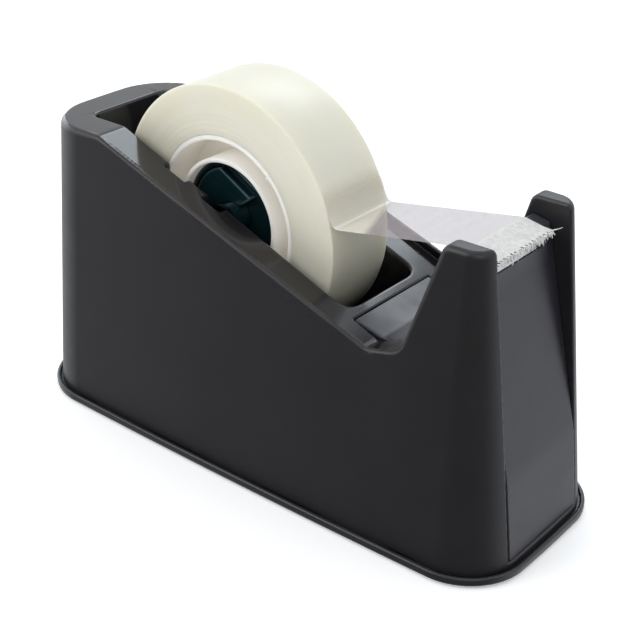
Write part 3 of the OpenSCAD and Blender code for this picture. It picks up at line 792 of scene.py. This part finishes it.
def make_film_finish():
    """Loose film: nearly clear where it is free, white and crazed where it is stuck down."""
    material, tree, shader = new_finish("loose_film", IOR=1.48)
    stuck = put(tree, "ShaderNodeAttribute", attribute_name="stuck").outputs["Fac"]
    where = piece_coordinates(tree)
    stretch = put(tree, "ShaderNodeMapping", {"Vector": where, "Scale": (260, 40, 260)})
    streaks = noise(tree, stretch.outputs["Vector"], 1.0, 3, 0.6)
    crazing = noise(tree, where, 900.0, 5, 0.7)
    streaky = remap(tree, streaks, 0.3, 0.7, 0.0, 1.0)
    clear = mix_colour(tree, streaky, (0.33, 0.28, 0.295), (0.40, 0.345, 0.36))
    crazed = remap(tree, crazing, 0.35, 0.65, 0.0, 1.0)
    white = mix_colour(tree, crazed, (0.58, 0.575, 0.54), (0.74, 0.74, 0.71))
    # Painted light of the roll seen through the film: cream colour and more cover where the cream patch mask
    # is 1
    painted_roll_light = put(tree, "ShaderNodeAttribute", attribute_name="painted_roll_light").outputs["Fac"]
    clear = mix_colour(tree, painted_roll_light, clear, (0.80, 0.76, 0.65))
    tree.links.new(mix_colour(tree, stuck, clear, white), shader.inputs["Base Color"])
    cloud = remap(tree, streaks, 0.3, 0.7, 0.42, 0.47)
    cloud = maths(tree, "ADD", cloud, maths(tree, "MULTIPLY", painted_roll_light, 0.25))
    cover = maths(tree, "MAXIMUM", cloud, maths(tree, "MULTIPLY", stuck, 0.97))
    lifted = put(tree, "ShaderNodeAttribute", attribute_name="lifted").outputs["Fac"]
    tree.links.new(maths(tree, "MULTIPLY", cover, lifted), shader.inputs["Alpha"])
    tree.links.new(remap(tree, stuck, 0.0, 1.0, 0.12, 0.7), shader.inputs["Roughness"])
    height = maths(tree, "MULTIPLY", crazing, remap(tree, stuck, 0.0, 1.0, 0.02, 1.0))
    bump = put(tree, "ShaderNodeBump", {"Height": height, "Strength": 0.6, "Distance": 0.0003})
    tree.links.new(bump.outputs["Normal"], shader.inputs["Normal"])
    return material


WOUND_TAPE = make_roll_finish()
LOOSE_FILM = make_film_finish()


def finish_with(piece, material):
    """Gives a new piece its material."""
    piece.data.materials.clear()
    piece.data.materials.append(material)
    return piece


# ---------------------------------------------------------------- the pieces

def make_housing():
    """Charcoal housing, polished on the deck and inside the rims."""
    piece = moulded("housing_shell", housing_form, SHELL_LOW, SHELL_HIGH, 0.42, 0.14, "root", "housing")
    p = points_of(piece)
    inside = -body_skin(*p.T)
    deck = ease(p[:, 2], DECK_Z - 0.5, DECK_Z - 0.1) * (p[:, 0] < VALLEY_X)
    add_mask(piece, "polish", np.maximum(ease(inside, 0.3, 0.9) * (p[:, 0] < CHEEK_FOOT_X), deck))
    finish_with(piece, CHARCOAL)


def make_cover():
    """Front cover with the ramp behind the cutter."""
    piece = moulded("cover_shell", cover_form, COVER_LOW, COVER_HIGH, 0.35, 0.4, "root", "front_cover")
    finish_with(piece, PANEL_PLASTIC)


def make_base():
    """Base plate with its lip and screw cups."""
    piece = moulded("base_tray", base_form, BASE_LOW, BASE_HIGH, 0.4, 0.3, "root", "base_plate")
    finish_with(piece, BASE_PLASTIC)


def make_grip_pad():
    """Non-slip sheet with rounded edges and shallow grooves across its underside."""
    top = PAD_HIGH[2]
    inset, groove_deep, groove_pitch = 2.4, 0.12, 4.0

    def pad_form(x, y, z):
        groove = groove_deep * (1 + np.cos(x * 2 * math.pi / groove_pitch)) / 2
        return meet(base_plan(x, y) + inset, np.maximum(groove - z, z - top), 0.15)

    piece = moulded("grip_sheet", pad_form, PAD_LOW, PAD_HIGH, 0.4, 0.3, "root", "grip_pad")
    finish_with(piece, PAD_RUBBER)


def make_rest():
    """Bar under the stuck end of the tape, which the tape lies on."""
    x0, x1 = REST_LOW[0], REST_HIGH[0]
    top = REST_HIGH[2]
    outline = arc_outline([
        (x0, REST_LOW[2], 0.2), (x1, REST_LOW[2], 0.2), (x1, top - 0.8, 0.4),
        (x0 + 1.2, top, 0.6), (x0, top - 1, 0.3)], 4)
    piece = extruded("rest_bar", outline, REST_LOW[1], REST_HIGH[1], "root", "tape_rest", 0.25)
    mask_all(piece, "edge", 0)
    finish_with(piece, REST_PLASTIC)


def make_cutter():
    """Steel strip bent forwards, with teeth along its front."""
    depth, thick = 1.0, 0.4
    leg_x = BLADE_LOW[0]
    tip_x, half, top = BLADE_HIGH[0], BLADE_HIGH[1], BLADE_HIGH[2]
    teeth = round(2 * half / TOOTH_PITCH)
    edge = [(tip_x - (depth if i % 2 == 0 else 0), -half + i * TOOTH_PITCH / 2)
            for i in range(2 * teeth + 1)]
    n = len(edge)
    rows = [
        [(leg_x, y, BLADE_LOW[2]) for _, y in edge],
        [(leg_x, y, top - 0.3) for _, y in edge],
        [(leg_x + 0.3, y, top) for _, y in edge],
        [(x - 0.15, y, top) for x, y in edge],
        [(x, y, top - 0.18) for x, y in edge],
        [(x - 0.1, y, top - thick) for x, y in edge],
        [(leg_x + thick + 0.1, y, top - thick) for _, y in edge],
        [(leg_x + thick, y, top - thick - 0.1) for _, y in edge],
        [(leg_x + thick, y, BLADE_LOW[2]) for _, y in edge],
    ]
    m = len(rows)
    points = [p for row in rows for p in row]
    faces = [[r * n + k, r * n + k + 1, (r + 1) % m * n + k + 1, (r + 1) % m * n + k]
             for r in range(m) for k in range(n - 1)]
    faces += [[r * n for r in range(m)], [r * n + n - 1 for r in range(m)][::-1]]
    piece = smooth(new_piece("toothed_cutter", points, faces, "root", "cutter_blade"), 25)
    finish_with(piece, CUTTER_STEEL)


def make_drum():
    """Drum that the core slides onto: rim, web and boss."""
    r, half, web = DRUM_HIGH[0] - AXIS[0], DRUM_HIGH[1], 1.2
    wall, bore, boss = 1.2, AXLE_R + 0.06, AXLE_R + 0.96
    rim_half = 7.0
    outline = arc_outline([
        (r, -rim_half, 0.3), (r, rim_half, 0.3), (r - wall, rim_half, 0.3), (r - wall, web, 0.3),
        (boss, web, 0.3), (boss, half, 0.15), (bore, half, 0.1), (bore, -half, 0.1),
        (boss, -half, 0.15), (boss, -web, 0.3), (r - wall, -web, 0.3), (r - wall, -rim_half, 0.3)], 4)
    piece = turned("drum_shell", outline, "spool", "hub_drum")
    mask_all(piece, "edge", 0)
    finish_with(piece, TEAL_PLASTIC)


def make_caps():
    """Two caps, each with a raised field that two straight edges bound, and a rib beside it."""
    low, high = node_box("hub_cap")
    radius = high[0] - AXIS[0]
    base, top = 5.0, high[1]
    bore = AXLE_R + 1.0
    slope, field_run, rib_run = 0.573, 13, 3
    corner = (5.5, 5.6)
    far = (corner[0] - field_run, corner[1] + field_run * slope)
    rib_end = (corner[0] + rib_run, corner[1] - rib_run * slope)
    middle = (0.0, 1.4)
    for name, side in (("cap_near", -1), ("cap_far", 1)):
        def cap_form(x, y, z, side=side):
            u, v, w = x - AXIS[0], (z - AXIS[2]) * -side, y * side
            disc = round_bar(u, v, (0, 0), radius)
            field = np.maximum(left_of(u, v, far, corner), left_of(u, v, corner, middle))
            rib = np.maximum(np.abs(left_of(u, v, far, rib_end) - 1.5) - 0.2, u - rib_end[0])
            form = meet(disc, w - base, 0.2)
            form = join(form, meet(meet(disc + 0.3, w - top, 0.12), field, 0.12), 0.1)
            form = join(form, meet(meet(disc + 0.6, w - base - 0.35, 0.1), rib, 0.1), 0.1)
            form = cut(form, round_bar(u, v, (0, 0), bore), 0.1)
            return meet(form, 1.25 - w, 0.1)
        lows = [low[0], min(side * 1.2, side * top), low[2]]
        highs = [high[0], max(side * 1.2, side * top), high[2]]
        piece = moulded(name, cap_form, lows, highs, 0.25, 1.0, "spool", "hub_cap")
        p = points_of(piece)
        outside = np.hypot(p[:, 0] - AXIS[0], p[:, 2] - AXIS[2]) > bore + 1
        layer = piece.data.attributes["edge"].data
        edge = np.empty(len(p), np.float32)
        layer.foreach_get("value", edge)
        # No lightened edge (wear and painted highlight) round the bore
        layer.foreach_set("value", edge * outside)
        finish_with(piece, TEAL_PLASTIC)


def make_pip(place):
    """Small rounded pip that the mould's gate leaves on the core's outer tube."""
    x, y, z = place
    r, deep = 0.45, 1.2
    outline = arc_outline([
        (0.02, -deep / 2, 0.05), (r, -deep / 2, 0.2), (r, deep / 2, 0.05), (0.02, deep / 2, 0.0)], 4)
    around = 20
    points, faces = [], []
    for k in range(around):
        turn = 2 * math.pi * k / around
        points += [(x + q * math.cos(turn), y + deep / 2 + 0.05 + t, z + q * math.sin(turn))
                   for q, t in outline]
    count = len(outline)
    for k in range(around):
        for i in range(count):
            a, b = k * count + i, k * count + (i + 1) % count
            c = (k + 1) % around * count
            faces.append([a, b, c + (i + 1) % count, c + i])
    piece = smooth(new_piece("core_pip", points, faces, "spool"), 50)
    bm = bmesh.new()
    bm.from_mesh(piece.data)
    bmesh.ops.recalc_face_normals(bm, faces=bm.faces)
    bm.to_mesh(piece.data)
    bm.free()
    mask_all(piece, "edge", 0)
    finish_with(piece, CORE_PLASTIC)


def make_core():
    """White core: outer tube, web and inner tube, with a moulding pip."""
    outer, tube = CORE_HIGH[0] - AXIS[0], 1.1
    inner, inner_tube = 13.0, 1.0
    half, recess, web = CORE_HIGH[1], 0.5, 0.9
    outline = arc_outline([
        (outer, -half, 0.25), (outer, half, 0.25), (outer - tube, half, 0.35), (outer - tube, web, 0.5),
        (inner + inner_tube, web, 0.5), (inner + inner_tube, half - recess, 0.3), (inner, half - recess, 0.3),
        (inner, -half + recess, 0.3), (inner + inner_tube, -half + recess, 0.3),
        (inner + inner_tube, -web, 0.5), (outer - tube, -web, 0.5), (outer - tube, -half, 0.35)], 5)
    piece = turned("core_shell", outline, "spool", "tape_core")
    pip_turn, pip_r = math.radians(46), outer - tube
    make_pip((AXIS[0] + pip_r * math.cos(pip_turn), -half, AXIS[2] + pip_r * math.sin(pip_turn)))
    mask_all(piece, "edge", 0)
    finish_with(piece, CORE_PLASTIC)


def make_roll():
    """Wound film, whose edges stand a few hundredths of a millimetre in or out of line."""
    bore = node_box("tape_core")[1][0] - AXIS[0] + 0.02
    ring_gap, stagger = 0.35, 0.06
    rings = np.arange(bore + 0.3, ROLL_R - ring_gap, ring_gap)
    near = [(r, -TAPE_HALF + stagger * DICE.random()) for r in rings]
    far = [(r, TAPE_HALF - stagger * DICE.random()) for r in rings[::-1]]
    outline = np.array([(bore, -TAPE_HALF + 0.1)] + near + [
        (ROLL_R - 0.18, -TAPE_HALF + 0.02), (ROLL_R - 0.05, -TAPE_HALF + 0.09), (ROLL_R, -TAPE_HALF + 0.25),
        (ROLL_R, TAPE_HALF - 0.25), (ROLL_R - 0.05, TAPE_HALF - 0.09), (ROLL_R - 0.18, TAPE_HALF - 0.02),
    ] + far + [(bore, TAPE_HALF - 0.1)])
    piece = turned("wound_roll", outline, "spool", "tape_roll", 256)
    finish_with(piece, WOUND_TAPE)


def film_route():
    """Route of the loose film, as (x, z) from the roll to the cutter, with its distance along."""
    peel = math.radians(16.5)
    radius = ROLL_R + 0.2

    def on_roll(turn):
        return AXIS[0] + radius * math.cos(turn), AXIS[2] + radius * math.sin(turn)

    start = on_roll(peel)
    rest_x, rest_z = REST_LOW[0] + 1.2, REST_HIGH[2] + 0.2
    path = [
        (*on_roll(peel + 0.22), 0),
        (*on_roll(peel + 0.11), 0.5),
        (*start, 0.5),
        (start[0] + 1.1, start[1] - 2.2, 1.6),
        (rest_x, rest_z, 1.0),
        (REST_HIGH[0] + 0.2, rest_z - 0.8, 3.0),
        (BLADE_HIGH[0] + 0.2, BLADE_HIGH[2] + 0.2, 0),
    ]
    corners = arc_outline(path, 10)
    gaps = np.linalg.norm(np.diff(corners, axis=0), axis=1)
    along = np.concatenate([[0], np.cumsum(gaps)])
    even = np.linspace(0, along[-1], 150)
    return np.stack([np.interp(even, along, corners[:, i]) for i in (0, 1)], axis=1), even


def make_film():
    """Loose film from the roll to the cutter, torn along the teeth."""
    route, along = film_route()
    across = np.linspace(-TAPE_HALF, TAPE_HALF, 118)
    thick, droop, free_length = 0.08, 0.25, 33
    tear_reach, lift_length = 3.0, 7.0
    way = np.gradient(route, axis=0)
    way /= np.linalg.norm(way, axis=1, keepdims=True)
    normal = np.stack([-way[:, 1], way[:, 0]], axis=1)
    tear = torn_edge(across)
    points = []
    for side in (0, 1):
        for i, s in enumerate(along):
            share = ease(s, along[-1] - tear_reach, along[-1])
            for j, y in enumerate(across):
                back = tear[j] * share
                sag = -droop * math.sin(math.pi * min(1, s / free_length)) * (1 - (y / TAPE_HALF) ** 2) * 0.5
                lift = side * thick + sag + (0.12 * DICE.random() * share if side == 0 else 0)
                x = route[i, 0] - way[i, 0] * back + normal[i, 0] * lift
                z = route[i, 1] - way[i, 1] * back + normal[i, 1] * lift
                points.append((x, y, z))
    rows, cols = len(along), len(across)
    faces = []
    for i in range(rows - 1):
        for j in range(cols - 1):
            a = i * cols + j
            faces.append([a, a + 1, a + cols + 1, a + cols])
            b = a + rows * cols
            faces.append([b, b + cols, b + cols + 1, b + 1])
    rim = [(i, 0) for i in range(rows)] + [(rows - 1, j) for j in range(1, cols)]
    rim += [(i, cols - 1) for i in range(rows - 2, -1, -1)] + [(0, j) for j in range(cols - 2, 0, -1)]
    for (i, j), (m, n) in zip(rim, rim[1:] + rim[:1]):
        a, b = i * cols + j, m * cols + n
        faces.append([a, a + rows * cols, b + rows * cols, b])
    piece = smooth(new_piece("loose_film", points, faces, "carrier", "tape_strip"), 50)
    p = points_of(piece)
    add_mask(piece, "stuck", ease(p[:, 0], REST_LOW[0] + 0.5, REST_LOW[0] + 0.9))
    # Painted light of the roll seen through the film: a cream patch beside the roll; its edge slants so that
    # it follows the roll's outline from the camera
    slant, patch_end, patch_gone = 0.42, 7.0, 10.0
    out = p[:, 0] - AXIS[0] - ROLL_R + slant * (p[:, 1] + TAPE_HALF)
    add_mask(piece, "painted_roll_light", 1 - ease(out, patch_end, patch_gone))
    add_mask(piece, "lifted", np.tile(np.repeat(ease(along, 0.0, lift_length), cols), 2))
    finish_with(piece, LOOSE_FILM)


def torn_edge(across):
    """How far the torn edge stands back at each place across the film, in millimetres."""
    saw = np.abs((across / TOOTH_PITCH) % 1 - 0.5) * 2
    ragged = DICE.normal(0, 0.16, len(across))
    return 0.15 + 0.75 * saw + np.clip(ragged, -0.3, 0.3)


def make_tear_fluff():
    """Short curled slivers of film along the torn edge, and one long one at the far corner."""
    points, faces = [], []
    count = 420
    front_x, front_z = BLADE_HIGH[0], BLADE_HIGH[2] + 0.25

    def sliver(start, way, length, width, curl):
        base = len(points)
        steps = 6
        side = np.array([-way[1], way[0], 0.0])
        side /= max(np.linalg.norm(side), 1e-6)
        for k in range(steps + 1):
            t = k / steps
            centre = np.array(start) + np.array(way) * length * t + np.array([0, 0, curl * t * t])
            half = width / 2 * (1 - 0.85 * t)
            for place in (centre - side * half, centre + side * half):
                points.append(place + (0, 0, 0.03))
                points.append(place - (0, 0, 0.03))
        for k in range(steps):
            a = base + 4 * k
            faces.extend([[a, a + 2, a + 6, a + 4], [a + 1, a + 5, a + 7, a + 3],
                          [a, a + 4, a + 5, a + 1], [a + 2, a + 3, a + 7, a + 6]])
        faces.extend([[base, base + 1, base + 3, base + 2],
                      [base + 4 * steps, base + 4 * steps + 2, base + 4 * steps + 3, base + 4 * steps + 1]])

    for y in DICE.uniform(-TAPE_HALF + 0.2, TAPE_HALF - 0.2, count):
        turn = DICE.normal(0, 0.5)
        drop = DICE.uniform(-1.6, 0.1)
        way = (0.45 * math.cos(turn), 0.6 * math.sin(turn), drop)
        start = (front_x - DICE.uniform(-0.05, 0.5), y, front_z + DICE.uniform(-0.1, 0.05))
        sliver(start, way, DICE.uniform(0.4, 1.1), DICE.uniform(0.25, 0.6), DICE.uniform(-0.3, 0.2))
    sliver((front_x - 0.6, TAPE_HALF - 0.5, front_z), (0.75, 0.62, 0.12), 2.6, 0.55, 0.35)
    sliver((front_x - 0.4, TAPE_HALF - 1.3, front_z), (0.85, 0.45, -0.1), 1.5, 0.5, -0.2)
    piece = smooth(new_piece("torn_slivers", points, faces, "carrier", "tape_strip"), 60)
    mask_all(piece, "stuck", 1)
    mask_all(piece, "painted_roll_light", 0)
    mask_all(piece, "lifted", 1)
    finish_with(piece, LOOSE_FILM)


def finish_cad_nodes():
    """Materials of the nodes that show their CAD shape."""
    for node, material in (
        ("base_screws", ZINC), ("cover_screws", ZINC), ("rear_ballast", CAST_IRON),
        ("front_ballast", CAST_IRON), ("ballast_pads", FOAM), ("hub_axle", AXLE_STEEL),
        ("axle_clip", AXLE_STEEL),
    ):
        mesh = frame["nodes"][node].data
        if not mesh.materials:
            mesh.materials.append(material)
        for i in range(len(mesh.materials)):
            mesh.materials[i] = material


# ---------------------------------------------------------------- stage

def make_camera():
    """Camera that looks down on the near side and the cutter end."""
    target = Vector((6.59, 0, 33.17)) * MM
    place = Vector((176.05, -204.97, 176.29)) * MM
    camera = bpy.data.objects.new("camera", bpy.data.cameras.new("camera"))
    camera.data.lens = 75.33
    camera.data.sensor_width = 36
    camera.data.clip_start = 0.01
    camera.location = place
    camera.rotation_euler = (target - place).to_track_quat("-Z", "Y").to_euler()
    bpy.context.scene.collection.objects.link(camera)
    bpy.context.scene.camera = camera


def make_light(name, way, distance, size, power, colour=(1, 1, 1)):
    """Soft panel of light that faces the object from a direction."""
    way = Vector(way).normalized()
    light = bpy.data.lights.new(name, "AREA")
    light.shape = "RECTANGLE"
    light.size, light.size_y = size
    light.energy = power
    light.color = colour
    panel = bpy.data.objects.new(name, light)
    panel.location = Vector((0, 0, 0.04)) + way * distance
    panel.rotation_euler = (-way).to_track_quat("-Z", "Y").to_euler()
    bpy.context.scene.collection.objects.link(panel)
    return panel


def make_stage():
    """White floor, pale surroundings and the soft panels."""
    mesh = bpy.data.meshes.new("floor")
    size = 3.0
    corners = [(-size, -size, 0), (size, -size, 0), (size, size, 0), (-size, size, 0)]
    mesh.from_pydata(corners, [], [[0, 1, 2, 3]])
    floor = bpy.data.objects.new("floor", mesh)
    bpy.context.scene.collection.objects.link(floor)
    material, tree, shader = new_finish("floor_paper", Roughness=1.0)
    shader.inputs["Base Color"].default_value = (0.93, 0.93, 0.93, 1)
    shader.inputs["Specular IOR Level"].default_value = 0.0
    shader.inputs["Emission Color"].default_value = (1, 1, 1, 1)
    shader.inputs["Emission Strength"].default_value = 0.28
    mesh.materials.append(material)
    floor.visible_glossy = False

    world = bpy.data.worlds.new("studio")
    bpy.context.scene.world = world
    world.use_nodes = True
    tree = world.node_tree
    back = tree.nodes["Background"]
    way = put(tree, "ShaderNodeTexCoord").outputs["Generated"]
    lit = put(tree, "ShaderNodeVectorMath", {0: way, 1: (-0.3, 0.9, 0.32)}, operation="DOT_PRODUCT")
    ramp = put(tree, "ShaderNodeMapRange", {
        "Value": lit.outputs["Value"], "From Min": -0.75, "From Max": 0.05, "To Min": 0.07, "To Max": 0.95},
        interpolation_type="SMOOTHSTEP")
    level = ramp.outputs["Result"]
    seen = put(tree, "ShaderNodeLightPath").outputs["Is Camera Ray"]
    level = maths(tree, "MAXIMUM", level, seen)
    tree.links.new(mix_colour(tree, seen, (0.94, 0.97, 1.0), (1.0, 1.0, 1.0)), back.inputs["Color"])
    tree.links.new(level, back.inputs["Strength"])

    make_light("deck_panel", (-0.3, 0.66, 0.68), 0.8, (0.4, 0.3), 1.5, (0.86, 0.94, 1.0))
    make_light("corner_panel", (-0.93, 0.1, 0.14), 0.8, (0.5, 0.5), 1.4, (0.86, 0.93, 1.0))
    make_light("top_panel", (0.1, 0.0, 1.0), 0.9, (0.8, 0.8), 0.2)
    make_light("left_panel", (-0.55, -0.75, 0.62), 0.9, (0.5, 0.5), 2.7)
    make_light("right_panel", (0.62, -0.62, 0.45), 0.9, (0.5, 0.5), 1.3)
    bpy.context.scene.view_settings.view_transform = "Standard"


make_camera()
make_stage()
make_housing()
make_cover()
make_base()
make_grip_pad()
make_rest()
make_cutter()
make_drum()
make_caps()
make_core()
make_roll()
make_film()
make_tear_fluff()
finish_cad_nodes()
